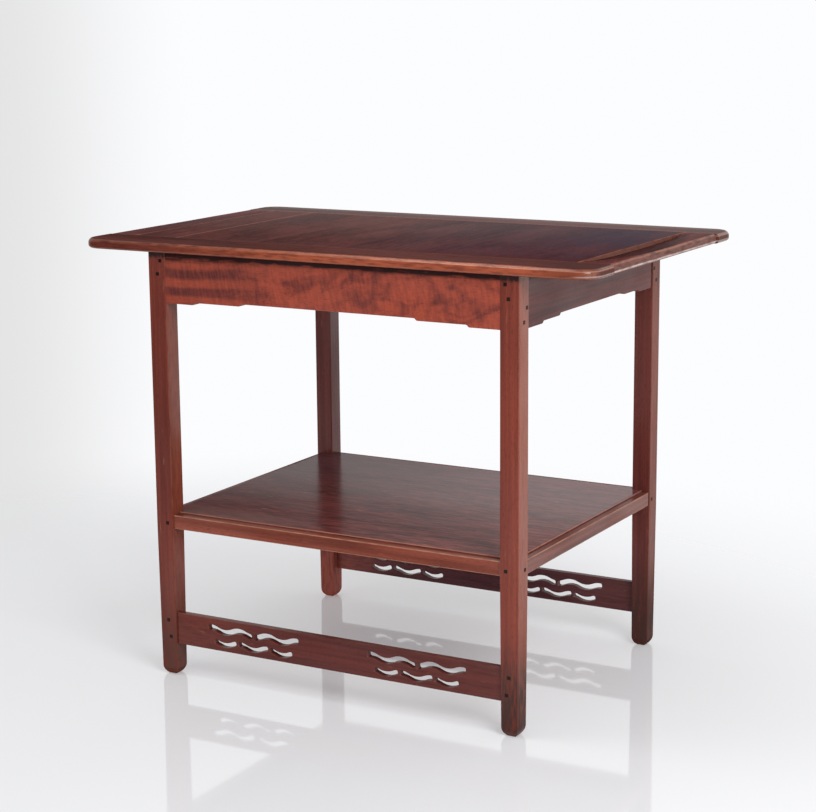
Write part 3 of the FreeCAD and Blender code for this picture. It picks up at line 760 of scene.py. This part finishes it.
ebony = mahogany("ebony", "z", EBONY_SEED, EBONY_TONES, EBONY_COAT, worn=EBONY_TONES[1])
for name in ("apron_pegs", "shelf_pegs", "stretcher_pegs"):
    dress(name, ebony)
button_wood = mahogany("button_wood", "y", BUTTON_SEED, BUTTON_TONES, BUTTON_COAT, worn=BUTTON_TONES[1])
dress("top_buttons", button_wood)
print("pegs and buttons dressed")

# %% [markdown]
# ## Screws
#
# Brass screws hold the buttons and the shelf boards, out of sight from above. A plain metal would do, but
# bare brass dulls in patches, so noise mixes a bright and a tarnished tone and makes the tarnish rougher.

# %% Brass
BRASS = (0.55, 0.38, 0.13)
TARNISH = (0.22, 0.13, 0.05)
TARNISH_WAVES = 300.0
TARNISH_SEED = 2.0
LEAST_BRASS_ROUGHNESS = 0.3
TARNISH_ROUGHNESS = 0.3


def brass():
    """Dull brass, patchy with tarnish."""
    material, shader, start = new_material("screw_brass")
    place = start.node("ShaderNodeTexCoord", {}, output="Object")
    tarnish = grain_noise(place, "z", TARNISH_WAVES, TARNISH_WAVES, TARNISH_SEED, detail=3.0)
    tarnish = tarnish.step(*LINE_SPREAD)
    connect(tarnish.mix(opaque(BRASS), opaque(TARNISH)), shader, "Base Color")
    connect(tarnish * TARNISH_ROUGHNESS + LEAST_BRASS_ROUGHNESS, shader, "Roughness")
    shader.inputs["Metallic"].default_value = 1.0
    return material


screw_brass = brass()
for name in ("button_screws", "shelf_screws"):
    dress(name, screw_brass)
print("materials on", sum(1 for node in nodes.values() if node.data.materials), "nodes")

# %% [markdown]
# ## Floor
#
# The table stands on a pale, slightly glossy floor that runs into the background without an edge. A curved
# sheet could do this, as in a real studio. A flat disc that fades out through its Alpha is simpler and has no
# bend to hide, and its low roughness mirrors the legs.

# %% Floor material
FADE_CENTRE = (-0.3, -0.5, 0.0)
FADE_START = 0.85
FADE_END = 2.0
FLOOR_DARK = (0.72, 0.725, 0.74)
FLOOR_LIGHT = (0.75, 0.755, 0.77)
FLOOR_CLOUDS = 0.8
FLOOR_GLOW = (0.96, 0.97, 1.0)
FLOOR_GLOW_STRENGTH = 0.18
FLOOR_ROUGHNESS = 0.05

floor_finish, shader, start = new_material("floor")
place = start.node("ShaderNodeTexCoord", {}, output="Object")
ends = {0: place, 1: FADE_CENTRE}
distance = place.node("ShaderNodeVectorMath", ends, output="Value", operation="DISTANCE")
connect(distance.step(FADE_END, FADE_START), shader, "Alpha")
cloud = place.node("ShaderNodeTexNoise", {"Vector": place, "Scale": FLOOR_CLOUDS})
connect(cloud.mix(opaque(FLOOR_DARK), opaque(FLOOR_LIGHT)), shader, "Base Color")
shader.inputs["Emission Color"].default_value = opaque(FLOOR_GLOW)
shader.inputs["Emission Strength"].default_value = FLOOR_GLOW_STRENGTH
shader.inputs["Roughness"].default_value = FLOOR_ROUGHNESS
print("floor fades from", FADE_START, "to", FADE_END, "m")

# %% Floor
FLOOR_RADIUS = 4.0
FLOOR_SIDES = 96

bpy.ops.object.select_all(action="DESELECT")
bpy.ops.mesh.primitive_circle_add(vertices=FLOOR_SIDES, radius=FLOOR_RADIUS, fill_type="NGON",
                                  location=(0, 0, 0))
floor = bpy.context.object
floor.name = "floor"
floor.data.materials.append(floor_finish)
print("floor of radius", FLOOR_RADIUS, "m")

# %% [markdown]
# ## Surround
#
# Behind the table the photo is white, and grey at the far left. One white world would also mirror white in
# every glossy face, while a real studio is dark outside the lit set. So the Light Path node splits the world:
# the camera sees the backdrop, glossy faces see a surround that is bright behind the table and dim behind the
# camera, and other rays see a soft fill.

# %% Directions in the world
world = bpy.data.worlds.new("studio")
bpy.context.scene.world = world
world.use_nodes = True
start = Field(world.node_tree)
direction = start.node("ShaderNodeTexCoord", {}, output="Generated")


def along(axis):
    """How far the direction of a ray points along an axis."""
    vectors = {0: direction, 1: axis}
    return direction.node("ShaderNodeVectorMath", vectors, output="Value", operation="DOT_PRODUCT")


def grey(level):
    """A grey of one level."""
    return opaque((level, level, level))


print("world", world.name)

# %% Surround
BACKDROP_GREY = (0.78, 0.78, 0.78)
BACKDROP_WHITE = (0.975, 0.98, 1.0)
BACKDROP_TURN = (-0.20, -0.10)
CAMERA_SIDEWAYS = (0.871, 0.490, 0.0)
HORIZON_LEVEL = 0.85
ZENITH_LEVEL = 0.45
FILL_RISE = (0.1, 0.8)
BEHIND_TABLE_LEVEL = 1.05
BEHIND_CAMERA_LEVEL = 0.3
BACKDROP_SIDE = (0.5, 0.866, 0.0)
MIRROR_TURN = (-0.9, 0.95)

backdrop = along(CAMERA_SIDEWAYS).step(*BACKDROP_TURN).mix(opaque(BACKDROP_GREY), opaque(BACKDROP_WHITE))
fill = part_of(direction, "z").step(*FILL_RISE).mix(grey(HORIZON_LEVEL), grey(ZENITH_LEVEL))
mirrored = along(BACKDROP_SIDE).step(*MIRROR_TURN).mix(grey(BEHIND_CAMERA_LEVEL), grey(BEHIND_TABLE_LEVEL))
seen = start.node("ShaderNodeLightPath", {}, output="Is Camera Ray")
glossy = start.node("ShaderNodeLightPath", {}, output="Is Glossy Ray")
connect(seen.mix(glossy.mix(fill, mirrored), backdrop), world.node_tree.nodes["Background"], "Color")
print("fill from", ZENITH_LEVEL, "to", HORIZON_LEVEL)
print("mirrored surround from", BEHIND_CAMERA_LEVEL, "to", BEHIND_TABLE_LEVEL)

# %% [markdown]
# ## Lights
#
# Soft boxes light the set. One sun lamp would be easier, but its shadows are hard and it doesn't weaken with
# distance. The key box stands to the right of the table, close enough to fall off towards the left, and
# lights the right faces of the legs. A box overhead lights the top, and a low one at the front opens the
# shadow under the shelf.

# %% Soft boxes
AIM_SHARE = 0.6
SOFT_BOXES = {
    "key_box": {"location": (2.1, -1.5, 1.9), "size": 1.2, "power": 40.0},
    "overhead_box": {"location": (-0.6, -0.6, 2.5), "size": 0.8, "power": 8.0},
    "front_box": {"location": (0.4, -2.8, 0.5), "size": 1.6, "power": 8.0},
}


def soft_box(name, location, size, power):
    """A square area light aimed at the middle of the table."""
    bpy.ops.object.light_add(type="AREA", location=location)
    lamp = bpy.context.object
    lamp.name = name
    lamp.data.shape = "SQUARE"
    lamp.data.size = size
    lamp.data.energy = power
    aim = Vector((0.0, 0.0, top_level * AIM_SHARE)) - Vector(location)
    lamp.rotation_euler = aim.to_track_quat("-Z", "Y").to_euler()


for name, settings in SOFT_BOXES.items():
    soft_box(name, **settings)
print(len(SOFT_BOXES), "soft boxes")

# %% [markdown]
# ## Camera
#
# The camera stands where the photo was taken from. It could be moved by eye until the picture fits, but its
# place, turn and tilt were worked out from the corners of the frame, which fits to a pixel or two. The
# columns of its matrix are its right, up and backward directions, so the turns are plain trigonometry.

# %% Camera
CAMERA_PLACE = Vector((1.6527, -2.9475, 1.1299))
CAMERA_YAW = math.radians(29.364)
CAMERA_PITCH = math.radians(11.465)
CAMERA_ROLL = math.radians(-0.493)
CAMERA_LENS = 89.97

bpy.ops.object.camera_add(location=CAMERA_PLACE)
camera = bpy.context.object
camera.data.lens = CAMERA_LENS
backward = Vector((math.sin(CAMERA_YAW) * math.cos(CAMERA_PITCH),
                   -math.cos(CAMERA_YAW) * math.cos(CAMERA_PITCH),
                   math.sin(CAMERA_PITCH)))
level_right = Vector((math.cos(CAMERA_YAW), math.sin(CAMERA_YAW), 0.0))
level_up = backward.cross(level_right)
right = math.cos(CAMERA_ROLL) * level_right + math.sin(CAMERA_ROLL) * level_up
up = math.cos(CAMERA_ROLL) * level_up - math.sin(CAMERA_ROLL) * level_right
camera.matrix_world = Matrix.Translation(CAMERA_PLACE) @ Matrix((right, up, backward)).transposed().to_4x4()
bpy.context.scene.camera = camera
bpy.context.scene.view_settings.view_transform = "Standard"
print("camera", round(CAMERA_PLACE.length, 2), "m from the origin")
